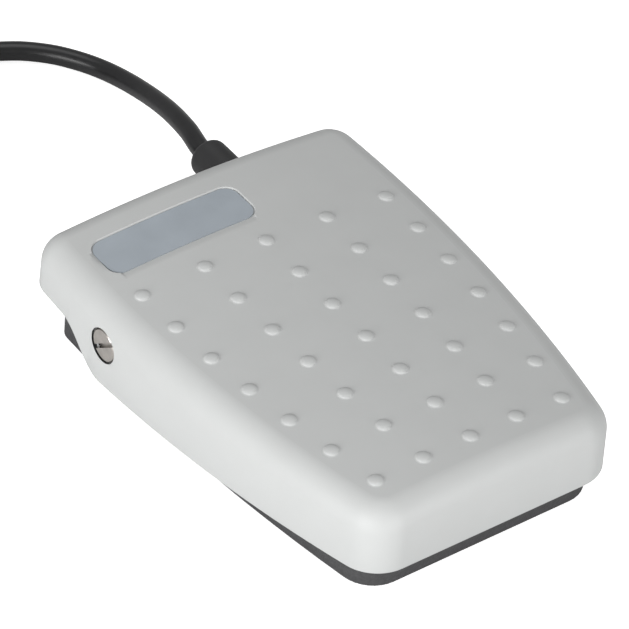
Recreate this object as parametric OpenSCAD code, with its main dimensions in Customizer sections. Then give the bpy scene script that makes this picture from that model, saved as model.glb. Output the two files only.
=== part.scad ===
// Foot switch: a hinged pedal cover over a base tray with a snap-action switch.
// Millimetres. X to the right, Y to the cable end, Z up. The origin is on the
// ground, under the middle of the cover.

/* [Pedal cover] */
// Length of the cover, from its front edge to its cable end
cover_l = 141; // [138:1:144]
// Width of the cover at its widest place
cover_w = 103.8; // [103:0.1:105]
// Height of the cover's crown above the ground
top_z = 30; // [29.9:0.1:31]
// Radius of each long side, seen from above
side_r = 453; // [430:1:480]
// Distance of the widest place behind the middle
widest_y = 38; // [35:1:40]
// Corner radius in plan, at the front
corner_r = 11.5; // [11:0.5:12]
// Corner radius in plan, at the cable end
rear_corner_r = 8.5; // [8.3:0.1:9.5]
// Rounding between the walls and the top
top_round = 7; // [6:0.1:7.2]
// Radius of the crown across the width
crown_r = 473; // [450:1:500]
// Wall thickness of the cover
wall = 2.2; // [2:0.1:2.4]
// How far the walls lean in on their way up
draft = 0.3; // [0:0.1:0.4]

/* [Rim of the cover] */
// Height of the rim at the front edge
rim_front = 9.3; // [9:0.1:10]
// Height of the rim at its lowest place, below the pivot
rim_low = 2.5; // [2.3:0.1:3]
// Height of the raised rim at the cable end
rim_rear = 12.8; // [12:0.1:13]
// Place along the length where the rim starts to rise
ramp_start = 35; // [34.5:0.5:36]
// Length of the rise
ramp_l = 18; // [17:0.5:19]

/* [Grip domes] */
// Number of rows of domes
dome_rows = 7; // [5:1:7]
// Distance between the rows
dome_pitch = 15; // [14.5:0.1:15]
// Place of the row nearest the cable end
dome_rear_y = 33.3; // [32:0.1:34]
// Distance from the outer domes to the side of the cover
dome_margin = 12.1; // [11.5:0.1:12.5]
// Diameter of a dome
dome_d = 4.2; // [3.8:0.1:4.6]
// Height of a dome
dome_h = 0.7; // [0.5:0.1:0.9]

/* [Label plate] */
// Length of the label recess
label_l = 46.6; // [44:0.1:48]
// Width of the label recess
label_w = 14.4; // [12:0.1:15]
// Middle of the recess across the width
label_x = -18.1; // [-19:0.1:-17]
// Middle of the recess along the length
label_y = 50.7; // [50:0.1:51]
// Corner radius of the recess
label_r = 4.2; // [3:0.1:5]
// Depth of the recess
label_depth = 0.6; // [0.5:0.1:0.7]

/* [Pivot] */
// Place of the pivot along the length
pivot_y = 33.5; // [33:0.1:34]
// Height of the pivot above the ground
pivot_z = 16; // [15.8:0.1:16.4]
// Diameter of the head of a pivot screw
head_d = 9.8; // [9.4:0.1:10]
// Diameter of the shoulder that the cover turns on
shoulder_d = 6; // [5.5:0.1:6]
// Angle of the screwdriver slot on the left screw
slot_angle = 52; // [0:1:90]

/* [Base tray] */
// Width of the tray at its widest place
tray_w = 96.2; // [95.8:0.1:96.6]
// Radius of the tray's long sides, seen from above
tray_side_r = 560; // [540:1:580]
// Front edge of the tray
tray_front = -66.3; // [-66.5:0.1:-66]
// Cable end of the tray
tray_rear = 60; // [59.6:0.1:60]
// Height of the tray's side wall
tray_h = 9; // [8.5:0.1:9.2]
// Thickness of the tray's floor and walls
tray_t = 2.4; // [2.2:0.1:2.5]
// How far the rubber feet lift the tray
foot_lift = 0.8; // [0.6:0.1:1]

/* [Cable] */
// Diameter of the cable
cable_d = 5.7; // [5.5:0.1:5.8]
// Place of the cable across the width
cable_x = 18.6; // [18.4:0.1:19]
// Height of the cable where it leaves the tray
cable_z = 14; // [13.8:0.1:14.4]
// Place of the end of the cable bush
bush_end = 88; // [86:0.1:89]
// Radius of the cable bush at its free end
bush_r = 5.7; // [5.4:0.1:5.8]

/* [Hidden] */

$fn = 64;
eps = 0.01;
half_l = cover_l / 2;

// ---------- plan outlines ----------
// An outline is [half width, side radius, widest y, front y, rear y, corner radius front, rear].
cover_plan = [cover_w / 2, side_r, widest_y, -half_l, half_l, corner_r, rear_corner_r];
tray_plan = [tray_w / 2, tray_side_r, 46, tray_front, tray_rear, 10, 5];

arc_steps = 8;
long_steps = 10;
fine_steps = 10;

function corner_x(o, cy, r) =
  o[0] - o[1] + sqrt(pow(o[1] - r, 2) - pow(cy - o[2], 2));
function corner_front(o) = [corner_x(o, o[3] + o[5], o[5]), o[3] + o[5]];
function corner_rear(o) = [corner_x(o, o[4] - o[6], o[6]), o[4] - o[6]];
function side_angle(o, c) = atan2(c[1] - o[2], c[0] - o[0] + o[1]);

// The right half of an outline as [centre x, centre y, radius, angle], from front to rear.
function half_arcs(o) = let (
    cf = corner_front(o),
    cr = corner_rear(o),
    af = side_angle(o, cf),
    ar = side_angle(o, cr),
    am = asin((ramp_start - 2 - o[2]) / o[1])
  ) concat(
    [for (i = [0:arc_steps]) [cf[0], cf[1], o[5], -90 + (af + 90) * i / arc_steps]],
    [for (i = [1:long_steps]) [o[0] - o[1], o[2], o[1], af + (am - af) * i / long_steps]],
    [for (i = [1:fine_steps - 1]) [o[0] - o[1], o[2], o[1], am + (ar - am) * i / fine_steps]],
    [for (i = [0:arc_steps]) [cr[0], cr[1], o[6], ar + (90 - ar) * i / arc_steps]]
  );
function on_arc(a, d) = [a[0] + (a[2] - d) * cos(a[3]), a[1] + (a[2] - d) * sin(a[3])];
// A whole outline, moved in by d.
function outline(o, d = 0) = let (h = half_arcs(o), n = len(h)) concat(
    [for (i = [0:n - 1]) on_arc(h[i], d)],
    [for (i = [n - 1:-1:0]) let (p = on_arc(h[i], d)) [-p[0], p[1]]]
  );

// ---------- the cover as one curved shell ----------
across = 12;
cover_half = half_arcs(cover_plan);
rows = len(cover_half) - 2;
ring_n = 2 * across + 2 * rows + 2;

function crown(x) = top_z - crown_r + sqrt(crown_r * crown_r - x * x);
function rim(y) =
  y < ramp_start
    ? rim_front + (rim_low - rim_front) * (y + half_l) / (ramp_start + half_l)
    : y > ramp_start + ramp_l
      ? rim_rear
      : rim_low + (rim_rear - rim_low) * (1 - cos(180 * (y - ramp_start) / ramp_l)) / 2;

function ring_point(i, d) =
  i <= across
    ? let (p = on_arc(cover_half[0], d)) [p[0] * (2 * i / across - 1), p[1]]
    : i <= across + rows
      ? on_arc(cover_half[i - across], d)
      : i <= 2 * across + rows + 1
        ? let (p = on_arc(cover_half[rows + 1], d), j = i - across - rows - 1)
          [p[0] * (1 - 2 * j / across), p[1]]
        : let (p = on_arc(cover_half[ring_n - i], d)) [-p[0], p[1]];
function rim_ring(d) =
  [for (i = [0:ring_n - 1]) let (p = ring_point(i, d)) [p[0], p[1], rim(ring_point(i, 0)[1])]];
function top_ring(d, drop) =
  [for (i = [0:ring_n - 1]) let (p = ring_point(i, d)) [p[0], p[1], crown(p[0]) - drop]];
// Rings of a rounding of radius r that starts d in and ends level with the top.
function round_rings(d, r, drop, steps, from, to) =
  [for (s = [from:(to > from ? 1 : -1):to]) let (a = 90 * s / steps)
    top_ring(d + r * (1 - cos(a)), drop + r * (1 - sin(a)))];
function cap_points(d, drop) =
  [for (k = [1:rows]) for (j = [1:across - 1])
    let (p = on_arc(cover_half[k], d), x = p[0] * (2 * j / across - 1)) [x, p[1], crown(x) - drop]];
// Index of a point of a cap: its edge lies on a ring, the rest in its own block.
function cap_index(k, j, ring0, block0) =
  k == 0 ? ring0 + j
  : k == rows + 1 ? ring0 + 2 * across + rows + 1 - j
  : j == across ? ring0 + across + k
  : j == 0 ? ring0 + ring_n - k
  : block0 + (k - 1) * (across - 1) + j - 1;

module cover_shell() {
  inner_steps = 3;
  outer_steps = 6;
  inner_r = top_round - wall;
  rings = concat(
    round_rings(wall, inner_r, wall, inner_steps, inner_steps, 0),
    [rim_ring(wall)],
    [rim_ring(0)],
    round_rings(draft, top_round, 0, outer_steps, 0, outer_steps)
  );
  ring_count = len(rings);
  last0 = (ring_count - 1) * ring_n;
  inner_block = ring_count * ring_n;
  outer_block = inner_block + rows * (across - 1);
  points = concat(
    [for (r = rings) each r],
    cap_points(wall + inner_r, wall),
    cap_points(draft + top_round, 0)
  );
  walls = [for (r = [0:ring_count - 2]) for (i = [0:ring_n - 1])
    let (a = r * ring_n + i, b = r * ring_n + (i + 1) % ring_n)
    each [[a, a + ring_n, b + ring_n], [a, b + ring_n, b]]];
  inner_cap = [for (k = [0:rows]) for (j = [0:across - 1])
    let (
      p = cap_index(k, j, 0, inner_block), q = cap_index(k, j + 1, 0, inner_block),
      s = cap_index(k + 1, j + 1, 0, inner_block), t = cap_index(k + 1, j, 0, inner_block)
    ) each [[p, q, s], [p, s, t]]];
  outer_cap = [for (k = [0:rows]) for (j = [0:across - 1])
    let (
      p = cap_index(k, j, last0, outer_block), q = cap_index(k, j + 1, last0, outer_block),
      s = cap_index(k + 1, j + 1, last0, outer_block), t = cap_index(k + 1, j, last0, outer_block)
    ) each [[p, s, q], [p, t, s]]];
  polyhedron(points = points, faces = concat(walls, inner_cap, outer_cap), convexity = 6);
}

function cover_half_width(y) = cover_w / 2 - side_r + sqrt(side_r * side_r - pow(y - widest_y, 2));

module dome() {
  ball = (pow(dome_d / 2, 2) + dome_h * dome_h) / (2 * dome_h);
  translate([0, 0, -0.5])
    intersection() {
      translate([0, 0, 0.5 + dome_h - ball]) sphere(r = ball, $fn = 48);
      cylinder(d = dome_d, h = 3, $fn = 32);
    }
}
module domes() {
  for (row = [0:dome_rows - 1]) {
    y = dome_rear_y - row * dome_pitch;
    outer_x = cover_half_width(y) - dome_margin;
    for (col = [-2:2]) {
      x = col * outer_x / 2;
      translate([x, y, crown(x)]) dome();
    }
  }
}

module rounded_plate(l, w, r, h) {
  linear_extrude(h)
    union() {
      square([l - 2 * r, w], center = true);
      square([l, w - 2 * r], center = true);
      for (x = [-1, 1], y = [-1, 1])
        translate([x * (l / 2 - r), y * (w / 2 - r)]) circle(r);
    }
}
// A slab under the label outline, cut off below the crown less some depth.
module label_slab(inset, depth, h) {
  difference() {
    translate([label_x, label_y, top_z - 4])
      rounded_plate(label_l - 2 * inset, label_w - 2 * inset, label_r - inset, h);
    translate([0, label_y, top_z - crown_r])
      rotate([90, 0, 0]) cylinder(r = crown_r - depth, h = 30, center = true, $fn = 720);
  }
}

// ---------- pivot ----------
boss_d = 13.2;
boss_in = cover_w / 2 - 6.7;
seat_x = boss_in + 3.5;
head_face = seat_x + 2.8;
insert_d = 6.4;
thread_d = 4;
tower_x = boss_in - 0.2;
insert_l = 8;

// Things on the pivot axis, along +X from the plane x.
module on_pivot(x) {
  translate([x, pivot_y, pivot_z]) rotate([0, 90, 0]) children();
}

// ---------- levels inside ----------
floor_z = foot_lift + tray_t;
under_top = top_z - wall;
foot_places = [[28, -53], [36, 50]];
spring_y = -27;
spring_d = 13;
spring_wire = 1.1;
stop_x = 26;
stop_y = -48;
landing_z = under_top - 2.8;
buffer_z = landing_z - 6.3;
stop_post_z = buffer_z - 2.8;
wall_y = tray_rear - tray_t;
wall_top = under_top - 5.3;
clamp_y = wall_y - 11.3;

// ---------- switch ----------
sw_y = pivot_y - 24;
sw_x0 = -16;
sw_l = 27.8;
sw_z0 = 8.4;
sw_h = 15.9;
sw_front = sw_y - 5.15;
sw_lid_y = sw_y + 3.35;
sw_rear = sw_y + 5.15;
hole_a = [-13.3, sw_z0 + 13.1];
hole_b = [9.4, sw_z0 + 2.7];
plunger_top = sw_z0 + sw_h + 2.2;
striker_z = plunger_top + 0.2;
blade_z = sw_z0 + 9.6;
knife_x = -11;
contact_x = 8;
tab_w = 4.8;
tab_t = 0.5;
tab_end = 4.4;
side_tab_z = blade_z + 1.3;
wire_z = 6.2;

module pedal_cover() {
  color([0.69, 0.69, 0.69])
    difference() {
      union() {
        cover_shell();
        domes();
        for (s = [-1, 1]) {
          // Pivot bosses inside the side walls
          on_pivot(s > 0 ? boss_in : -boss_in - 5.3) cylinder(d = boss_d, h = 5.3);
          // Long ribs under the top
          translate([s * 22 - 0.8, -58, under_top - 2]) cube([1.6, 82, 2.6]);
          // Landing bosses for the stops
          translate([s * stop_x, stop_y, landing_z]) cylinder(d = 9, h = 4);
          // Pads that rest on the tray's rear wall while the pedal is up
          translate([s * 28 - 4, wall_y + 0.4, wall_top + 0.1]) cube([8, 1.6, under_top - wall_top]);
        }
        // Cross ribs under the top
        for (y = [-13, 25]) translate([-22, y - 0.8, under_top - 2]) cube([44, 1.6, 2.6]);
        // Spigot inside the return spring
        translate([0, spring_y, under_top - 5]) cylinder(d = 9.6, h = 6);
        // Striker over the switch plunger
        translate([-3, sw_y - 3, striker_z]) cube([6, 6, under_top - striker_z + 1]);
      }
      for (s = [-1, 1]) {
        on_pivot(s > 0 ? boss_in - 2 : -boss_in - 8) cylinder(d = shoulder_d + 0.1, h = 10);
        on_pivot(s > 0 ? seat_x : -seat_x - 6) cylinder(d = head_d + 0.6, h = 6);
      }
      // Clearance for the cable bush, open below
      translate([cable_x, half_l - 8, cable_z]) rotate([-90, 0, 0]) cylinder(r = 7.2, h = 16);
      translate([cable_x - 7.2, half_l - 8, cable_z - 12]) cube([14.4, 16, 12]);
      label_slab(0, label_depth, 10);
    }
}

module label_plate() {
  color([0.58, 0.61, 0.64])
    intersection() {
      label_slab(0.25, label_depth, 10);
      translate([0, label_y, top_z - crown_r])
        rotate([90, 0, 0])
          cylinder(r = crown_r - label_depth + 0.35, h = 30, center = true, $fn = 720);
    }
}

module tray_solid(z0, z1, inset) {
  translate([0, 0, z0]) linear_extrude(z1 - z0) polygon(outline(tray_plan, inset));
}

module base_tray() {
  color([0.27, 0.27, 0.28])
    difference() {
      union() {
        difference() {
          tray_solid(foot_lift, tray_h, 0);
          tray_solid(floor_z, tray_h + 1, tray_t);
        }
        // Upright wall behind the switch space, which holds the cable bush
        translate([-38, wall_y, foot_lift + 0.5]) cube([76, tray_t, wall_top - foot_lift - 0.5]);
        for (s = [-1, 1]) {
          // Pivot towers
          translate([s > 0 ? 33 : -tower_x, pivot_y - 7, floor_z - 1])
            cube([tower_x - 33, 14, pivot_z + 3]);
          // Stop posts
          translate([s * stop_x, stop_y, floor_z - 1]) cylinder(d = 12, h = stop_post_z - floor_z + 1);
        }
        // Cup round the foot of the return spring
        translate([0, spring_y, floor_z - 1]) cylinder(d = 18, h = 6);
        // Upright plate that the switch is screwed to
        translate([sw_x0 - 2, sw_front - 2.5, floor_z - 1]) cube([sw_l + 5.4, 2.5, sw_z0 + sw_h - floor_z + 1]);
        for (x = [sw_x0 - 2, sw_x0 + sw_l + 1.4])
          translate([x, sw_front - 12, floor_z - 1]) cube([2, 10, 12]);
        // Saddle under the cable
        translate([cable_x - 11, clamp_y, floor_z - 1]) cube([22, 7, cable_z - 0.6 - floor_z + 1]);
        // Floor ribs
        for (y = [-58, -37, -10, 28]) translate([-36, y - 0.7, floor_z - 1]) cube([72, 1.4, 2.2]);
      }
      // Well of the spring cup
      translate([0, spring_y, floor_z]) cylinder(d = spring_d + 1.4, h = 10);
      for (s = [-1, 1]) {
        // Room for the pivot bosses of the cover
        translate([s > 0 ? tower_x : -tower_x - 6, pivot_y - 8.5, 7.4]) cube([6, 17, 20]);
        // Holes for the threaded inserts
        on_pivot(s > 0 ? tower_x - insert_l : -tower_x) cylinder(d = insert_d, h = insert_l);
        // Holes for the stems of the stop buffers
        translate([s * stop_x, stop_y, stop_post_z - 5]) cylinder(d = 4, h = 6);
      }
      // Hole for the cable bush
      translate([cable_x, wall_y - 1, cable_z]) rotate([-90, 0, 0]) cylinder(r = 4.8, h = 4);
      // Groove for the cable, and pilot holes of the clamp screws
      translate([cable_x, clamp_y - 0.5, cable_z]) rotate([-90, 0, 0]) cylinder(d = cable_d, h = 8);
      for (s = [-1, 1])
        translate([cable_x + s * 7.5, clamp_y + 3.5, cable_z - 9]) cylinder(d = 2.9, h = 10);
      // Screw holes for the switch, with nut pockets
      for (p = [hole_a, hole_b]) {
        translate([p[0], sw_front - 4, p[1]]) rotate([-90, 0, 0]) cylinder(d = 3.2, h = 6);
        translate([p[0], sw_front - 2.6, p[1]]) rotate([-90, 0, 0]) cylinder(d = 6.6, h = 0.8, $fn = 6);
      }
      // Seats for the rubber feet
      for (s = [-1, 1], p = foot_places)
        translate([s * p[0], p[1], 0]) cylinder(d = 12.2, h = foot_lift + 0.9);
    }
}

module rubber_feet() {
  color([0.1, 0.1, 0.1])
    for (s = [-1, 1], p = foot_places)
      translate([s * p[0], p[1], 0]) cylinder(d = 12, h = foot_lift + 0.9);
}

// A slotted shoulder screw along +X, its thread end at x = 0.
module pivot_screw(angle) {
  thread_l = 7.6;
  shoulder_l = seat_x + 0.1 - tower_x;
  head_l = head_face - seat_x - 0.1;
  rotate([0, 90, 0])
    difference() {
      union() {
        cylinder(d = thread_d, h = thread_l + eps);
        translate([0, 0, thread_l]) cylinder(d = shoulder_d, h = shoulder_l + eps);
        translate([0, 0, thread_l + shoulder_l]) cylinder(d = head_d, h = head_l - 0.4 + eps);
        translate([0, 0, thread_l + shoulder_l + head_l - 0.4])
          cylinder(d1 = head_d, d2 = head_d - 0.8, h = 0.4);
      }
      translate([0, 0, thread_l + shoulder_l + head_l - 1.4])
        rotate([0, 0, angle]) translate([-10, -0.65, 0]) cube([20, 1.3, 3]);
    }
}
module pivot_screw_right() {
  color([0.6, 0.58, 0.56]) translate([tower_x - 7.6, pivot_y, pivot_z]) pivot_screw(20);
}
module pivot_screw_left() {
  color([0.6, 0.58, 0.56])
    mirror([1, 0, 0]) translate([tower_x - 7.6, pivot_y, pivot_z]) pivot_screw(slot_angle);
}

module threaded_insert() {
  difference() {
    cylinder(d = insert_d, h = insert_l);
    translate([0, 0, -1]) cylinder(d = thread_d, h = insert_l + 2);
  }
}
module pivot_insert_right() {
  color([0.72, 0.58, 0.3]) on_pivot(tower_x - insert_l) threaded_insert();
}
module pivot_insert_left() {
  color([0.72, 0.58, 0.3]) on_pivot(-tower_x) threaded_insert();
}

module stop_buffer(s) {
  color([0.08, 0.08, 0.08])
    translate([s * stop_x, stop_y, 0]) {
      translate([0, 0, stop_post_z - 4.8]) cylinder(d = 4, h = 4.8 + eps);
      translate([0, 0, stop_post_z]) cylinder(d = 9, h = buffer_z - stop_post_z - 0.6 + eps);
      translate([0, 0, buffer_z - 0.6]) cylinder(d1 = 9, d2 = 7.8, h = 0.6);
    }
}
module stop_buffer_left() stop_buffer(-1);
module stop_buffer_right() stop_buffer(1);

// ---------- swept round tubes ----------
function unit(v) = v / norm(v);
// Directions along a path, from each point's neighbours.
function path_dirs(p) = [for (i = [0:len(p) - 1])
  unit(p[min(i + 1, len(p) - 1)] - p[max(i - 1, 0)])];
// The end faces of a tube are square to these directions, if given.
function end_dirs(p, first, last) = let (d = path_dirs(p)) [for (i = [0:len(p) - 1])
  i == 0 && norm(first) > 0 ? unit(first) : i == len(p) - 1 && norm(last) > 0 ? unit(last) : d[i]];
function side_of(d, up) = unit(cross(d, up));
module tube(path, r, sides, first = [0, 0, 0], last = [0, 0, 0], up = [0, 0, 1]) {
  n = len(path);
  dirs = end_dirs(path, first, last);
  points = [for (i = [0:n - 1]) let (s = side_of(dirs[i], up), t = cross(s, dirs[i]))
    for (k = [0:sides - 1]) let (a = 360 * (k + 0.5) / sides) path[i] + r * (cos(a) * s + sin(a) * t)];
  faces = concat(
    [[for (k = [0:sides - 1]) k]],
    [for (i = [0:n - 2]) for (k = [0:sides - 1])
      let (a = i * sides + k, b = i * sides + (k + 1) % sides)
      each [[a, a + sides, b + sides], [a, b + sides, b]]],
    [[for (k = [sides - 1:-1:0]) (n - 1) * sides + k]]
  );
  polyhedron(points = points, faces = faces, convexity = 8);
}
// A smooth curve through route points, with steps between each pair.
function curve_point(a, b, c, d, t) =
  0.5 * (2 * b + t * (c - a) + t * t * (2 * a - 5 * b + 4 * c - d) + t * t * t * (3 * b - a - 3 * c + d));
function smooth(p, steps) = concat(
  [for (i = [0:len(p) - 2]) for (s = [0:steps - 1])
    curve_point(p[max(i - 1, 0)], p[i], p[i + 1], p[min(i + 2, len(p) - 1)], s / steps)],
  [p[len(p) - 1]]
);

module return_spring() {
  turns = 7;
  per_turn = 10;
  z0 = floor_z + 0.1 + spring_wire / 2;
  z1 = under_top - 0.2 - spring_wire / 2;
  r = (spring_d - spring_wire) / 2;
  path = [for (i = [0:turns * per_turn])
    let (u = i / (turns * per_turn), a = 360 * turns * u,
      v = u < 1 / turns ? 0.15 * u : u > 1 - 1 / turns ? 1 - 0.15 * (1 - u)
        : 0.15 / turns + (u - 1 / turns) * (1 - 0.3 / turns) / (1 - 2 / turns))
    [r * cos(a), spring_y + r * sin(a), z0 + (z1 - z0) * v]];
  color([0.62, 0.62, 0.64]) tube(path, spring_wire / 2, 6);
}

// ---------- switch pieces ----------
module along_y(p, y) {
  translate([p[0], y, p[1]]) rotate([-90, 0, 0]) children();
}
module switch_hole_pair(y, l, d) {
  for (p = [hole_a, hole_b]) along_y(p, y) cylinder(d = d, h = l);
}
module case_outline_box(y0, y1) {
  translate([sw_x0, y0, sw_z0]) cube([sw_l, y1 - y0, sw_h]);
}
module terminal_slots() {
  // Ways through the bottom for two terminals, and through the end for the third
  for (x = [knife_x - tab_t / 2, 5.25]) translate([x - tab_t / 2, sw_y - tab_w / 2, sw_z0 - 1])
    cube([tab_t, tab_w, 4]);
  translate([10, sw_y - tab_w / 2, side_tab_z]) cube([4, tab_w, tab_t]);
}
module switch_case() {
  color([0.16, 0.16, 0.17])
    difference() {
      case_outline_box(sw_front, sw_lid_y);
      difference() {
        translate([sw_x0 + 1.6, sw_front + 1.4, sw_z0 + 1.8]) cube([sw_l - 3.2, 12, sw_h - 3.6]);
        for (p = [hole_a, hole_b]) along_y(p, sw_front - 1) cylinder(d = 5.4, h = 14);
      }
      switch_hole_pair(sw_front - 1, 14, 3.2);
      terminal_slots();
      translate([0, sw_y, sw_z0 + sw_h - 3]) cylinder(d = 3.36, h = 6);
    }
}
module switch_lid() {
  color([0.2, 0.2, 0.21])
    difference() {
      case_outline_box(sw_lid_y, sw_rear);
      switch_hole_pair(sw_front - 1, 14, 3.2);
      translate([0, sw_y, sw_z0 + sw_h - 3]) cylinder(d = 3.36, h = 6);
    }
}
module switch_plunger() {
  flange_z = sw_z0 + sw_h - 1.9;
  color([0.75, 0.1, 0.08])
    translate([0, sw_y, 0]) {
      translate([0, 0, flange_z - 1.6]) cylinder(d = 3.2, h = plunger_top - 0.5 - flange_z + 1.6);
      translate([0, 0, plunger_top - 0.5]) cylinder(d1 = 3.2, d2 = 2, h = 0.5);
      translate([0, 0, flange_z - 1.6]) cylinder(d = 4.8, h = 1.5);
      translate([0, 0, side_tab_z]) cylinder(d = 2.2, h = 3);
    }
}
module contact_blade() {
  color([0.78, 0.55, 0.32])
    difference() {
      translate([knife_x + 0.1, sw_y - 1.9, blade_z - 0.15]) cube([contact_x + 1.8 - knife_x, 3.8, 0.3]);
      translate([contact_x, sw_y, blade_z - 1]) cylinder(d = 1.6, h = 2);
      translate([knife_x + 3, sw_y - 0.5, blade_z - 1]) cube([4.5, 1, 2]);
    }
}
module moving_contact() {
  color([0.8, 0.8, 0.82])
    translate([contact_x, sw_y, 0]) {
      translate([0, 0, blade_z - 0.65]) cylinder(d = 3, h = 0.5);
      translate([0, 0, blade_z - 0.3]) cylinder(d = 1.6, h = 0.6);
      translate([0, 0, blade_z + 0.15]) cylinder(d = 3, h = 0.5);
    }
}
module common_terminal() {
  color([0.78, 0.66, 0.4])
    difference() {
      translate([knife_x - tab_t, sw_y - tab_w / 2, tab_end]) cube([tab_t, tab_w, blade_z + 0.6 - tab_end]);
      translate([knife_x - 2, sw_y, tab_end + 1.8]) rotate([0, 90, 0]) cylinder(d = 1.3, h = 4);
    }
}
module open_terminal() {
  top = blade_z - 2.7;
  color([0.78, 0.66, 0.4])
    difference() {
      union() {
        translate([5, sw_y - tab_w / 2, tab_end]) cube([tab_t, tab_w, top - tab_end]);
        translate([5, sw_y - tab_w / 2, top - tab_t]) cube([4.8, tab_w, tab_t]);
      }
      translate([3, sw_y, tab_end + 1.8]) rotate([0, 90, 0]) cylinder(d = 1.3, h = 4);
    }
}
module closed_terminal() {
  color([0.78, 0.66, 0.4])
    difference() {
      translate([5.6, sw_y - tab_w / 2, side_tab_z]) cube([13, tab_w, tab_t]);
      translate([16.6, sw_y, side_tab_z - 1]) cylinder(d = 1.3, h = 3);
    }
}
module fixed_contacts() {
  color([0.8, 0.8, 0.82])
    translate([contact_x, sw_y, 0]) {
      translate([0, 0, blade_z + 0.7]) cylinder(d = 3, h = side_tab_z - blade_z - 0.7);
      translate([0, 0, blade_z - 2.7]) cylinder(d = 3, h = 0.5);
    }
}
module switch_screws() {
  color([0.65, 0.65, 0.67])
    for (p = [hole_a, hole_b]) {
      along_y(p, sw_front - 5) cylinder(d = 3, h = sw_rear - sw_front + 5 + eps);
      along_y(p, sw_rear) difference() {
        cylinder(d = 5.6, h = 1.9);
        translate([-5, -0.4, 0.9]) cube([10, 0.8, 2]);
      }
    }
}
module switch_nuts() {
  color([0.65, 0.65, 0.67])
    for (p = [hole_a, hole_b])
      along_y(p, sw_front - 1.8 - 2.3) difference() {
        cylinder(d = 6.3, h = 2.3, $fn = 6);
        translate([0, 0, -1]) cylinder(d = 3, h = 5);
      }
}

// ---------- wires inside ----------
core_d = 2.2;
tab_rear = sw_y + tab_w / 2;
jacket_in = clamp_y - 3.5;
common_route = [
  [cable_x - 1.3, jacket_in, cable_z + 0.8], [cable_x - 2, 38, 13.8], [13, 32.5, 10.5], [4, 27, 7.4],
  [-6, 23.6, 6.3], [-10.4, 20.6, wire_z], [knife_x - tab_t / 2, 17.6, wire_z],
  [knife_x - tab_t / 2, tab_rear, wire_z]
];
open_route = [
  [cable_x, jacket_in, cable_z - 1.4], [cable_x - 0.6, 38, 11.2], [15.6, 31.5, 8], [10, 25, 6.4],
  [6, 20.6, wire_z], [5.25, 17.6, wire_z], [5.25, tab_rear, wire_z]
];
closed_route = [
  [cable_x + 1.3, jacket_in, cable_z + 0.8], [cable_x + 1, 36, 15.6], [18.8, 27.6, 17.6],
  [17.4, 22, 19], [16.6, 17.8, side_tab_z + 0.25], [16.6, tab_rear, side_tab_z + 0.25]
];
module core(route) tube(smooth(route, 3), core_d / 2, 8, [0, -1, 0], [0, -1, 0]);
module core_common() color([0.36, 0.2, 0.12]) core(common_route);
module core_open() color([0.1, 0.1, 0.1]) core(open_route);
module core_closed() color([0.12, 0.2, 0.5]) core(closed_route);
module terminal_sleeves() {
  color([0.12, 0.12, 0.12])
    for (p = [[knife_x - tab_t / 2, wire_z], [5.25, wire_z], [16.6, side_tab_z + 0.25]])
      along_y(p, tab_rear) difference() {
        cylinder(d = 3.4, h = 4.4);
        translate([0, 0, -1]) cylinder(d = core_d + 0.16, h = 8);
      }
}
module inner_cable() {
  color([0.1, 0.1, 0.1])
    along_y([cable_x, cable_z], jacket_in) cylinder(d = cable_d, h = bush_end - jacket_in);
}
module cable_clamp() {
  color([0.3, 0.3, 0.31])
    difference() {
      translate([cable_x - 11, clamp_y + 0.5, cable_z + 0.4]) cube([22, 6, 4.6]);
      along_y([cable_x, cable_z], clamp_y - 0.5) cylinder(d = cable_d, h = 8);
      for (s = [-1, 1]) translate([cable_x + s * 7.5, clamp_y + 3.5, cable_z]) cylinder(d = 3.2, h = 8);
    }
}
module clamp_screws() {
  color([0.65, 0.65, 0.67])
    for (s = [-1, 1]) translate([cable_x + s * 7.5, clamp_y + 3.5, 0]) {
      translate([0, 0, cable_z - 8]) cylinder(d = 2.9, h = 13 + eps);
      translate([0, 0, cable_z + 5]) difference() {
        cylinder(d = 5.4, h = 1.8);
        translate([-5, -0.4, 0.9]) cube([10, 0.8, 2]);
        translate([-0.4, -5, 0.9]) cube([0.8, 10, 2]);
      }
    }
}
// The bush: a flange inside the wall, a neck in its hole and a long body with a rounded nose.
module cable_bush() {
  nose = 2.6;
  body = concat(
    [[cable_d / 2, wall_y - 2], [6.6, wall_y - 2], [6.6, wall_y], [4.8, wall_y]],
    [[4.8, tray_rear], [bush_r, tray_rear]],
    [for (i = [0:8]) let (a = 90 * i / 8)
      [bush_r - nose + nose * cos(a), bush_end - nose + nose * sin(a)]],
    [[cable_d / 2, bush_end]]
  );
  color([0.13, 0.13, 0.13])
    translate([cable_x, 0, cable_z]) rotate([-90, 0, 0]) rotate_extrude() polygon(body);
}

// ---------- free cable ----------
// Route of the lead on the way from the bush to the coil, in round numbers.
floor_r = cable_d / 2;
lead_route = [
  [18.6, 88, 14], [19.3, 92.5, 13.9], [20.9, 98.5, 13.3], [22.2, 104.8, 12.2], [23.3, 111.1, 10.9],
  [24.2, 117.4, 9.3], [24.9, 123.9, 7.5], [25.2, 131, 5.7], [24.9, 137.8, 4.2], [23.8, 144, 3.2],
  [21.7, 149.2, 2.9], [19, 153.6, 2.9], [15.8, 157.9, 2.9], [12, 161.7, 2.9], [7.8, 165, 2.9],
  [2.8, 167.8, 2.9], [-8.2, 173.7, 2.9], [-19.3, 179.6, 2.9], [-30.4, 185.4, 2.9], [-41.5, 191.3, 2.9]
];
coil_x = -59;
coil_y = 158.4;
turn_gap = 5.9;
coil_mid = 31.4;
coil_out = coil_mid + turn_gap + floor_r;
coil_in = coil_mid - turn_gap - floor_r;
coil_h = cable_d + 2 * turn_gap;
tie_angle = 320;
tie_w = 5;
tie_t = 0.8;
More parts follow.
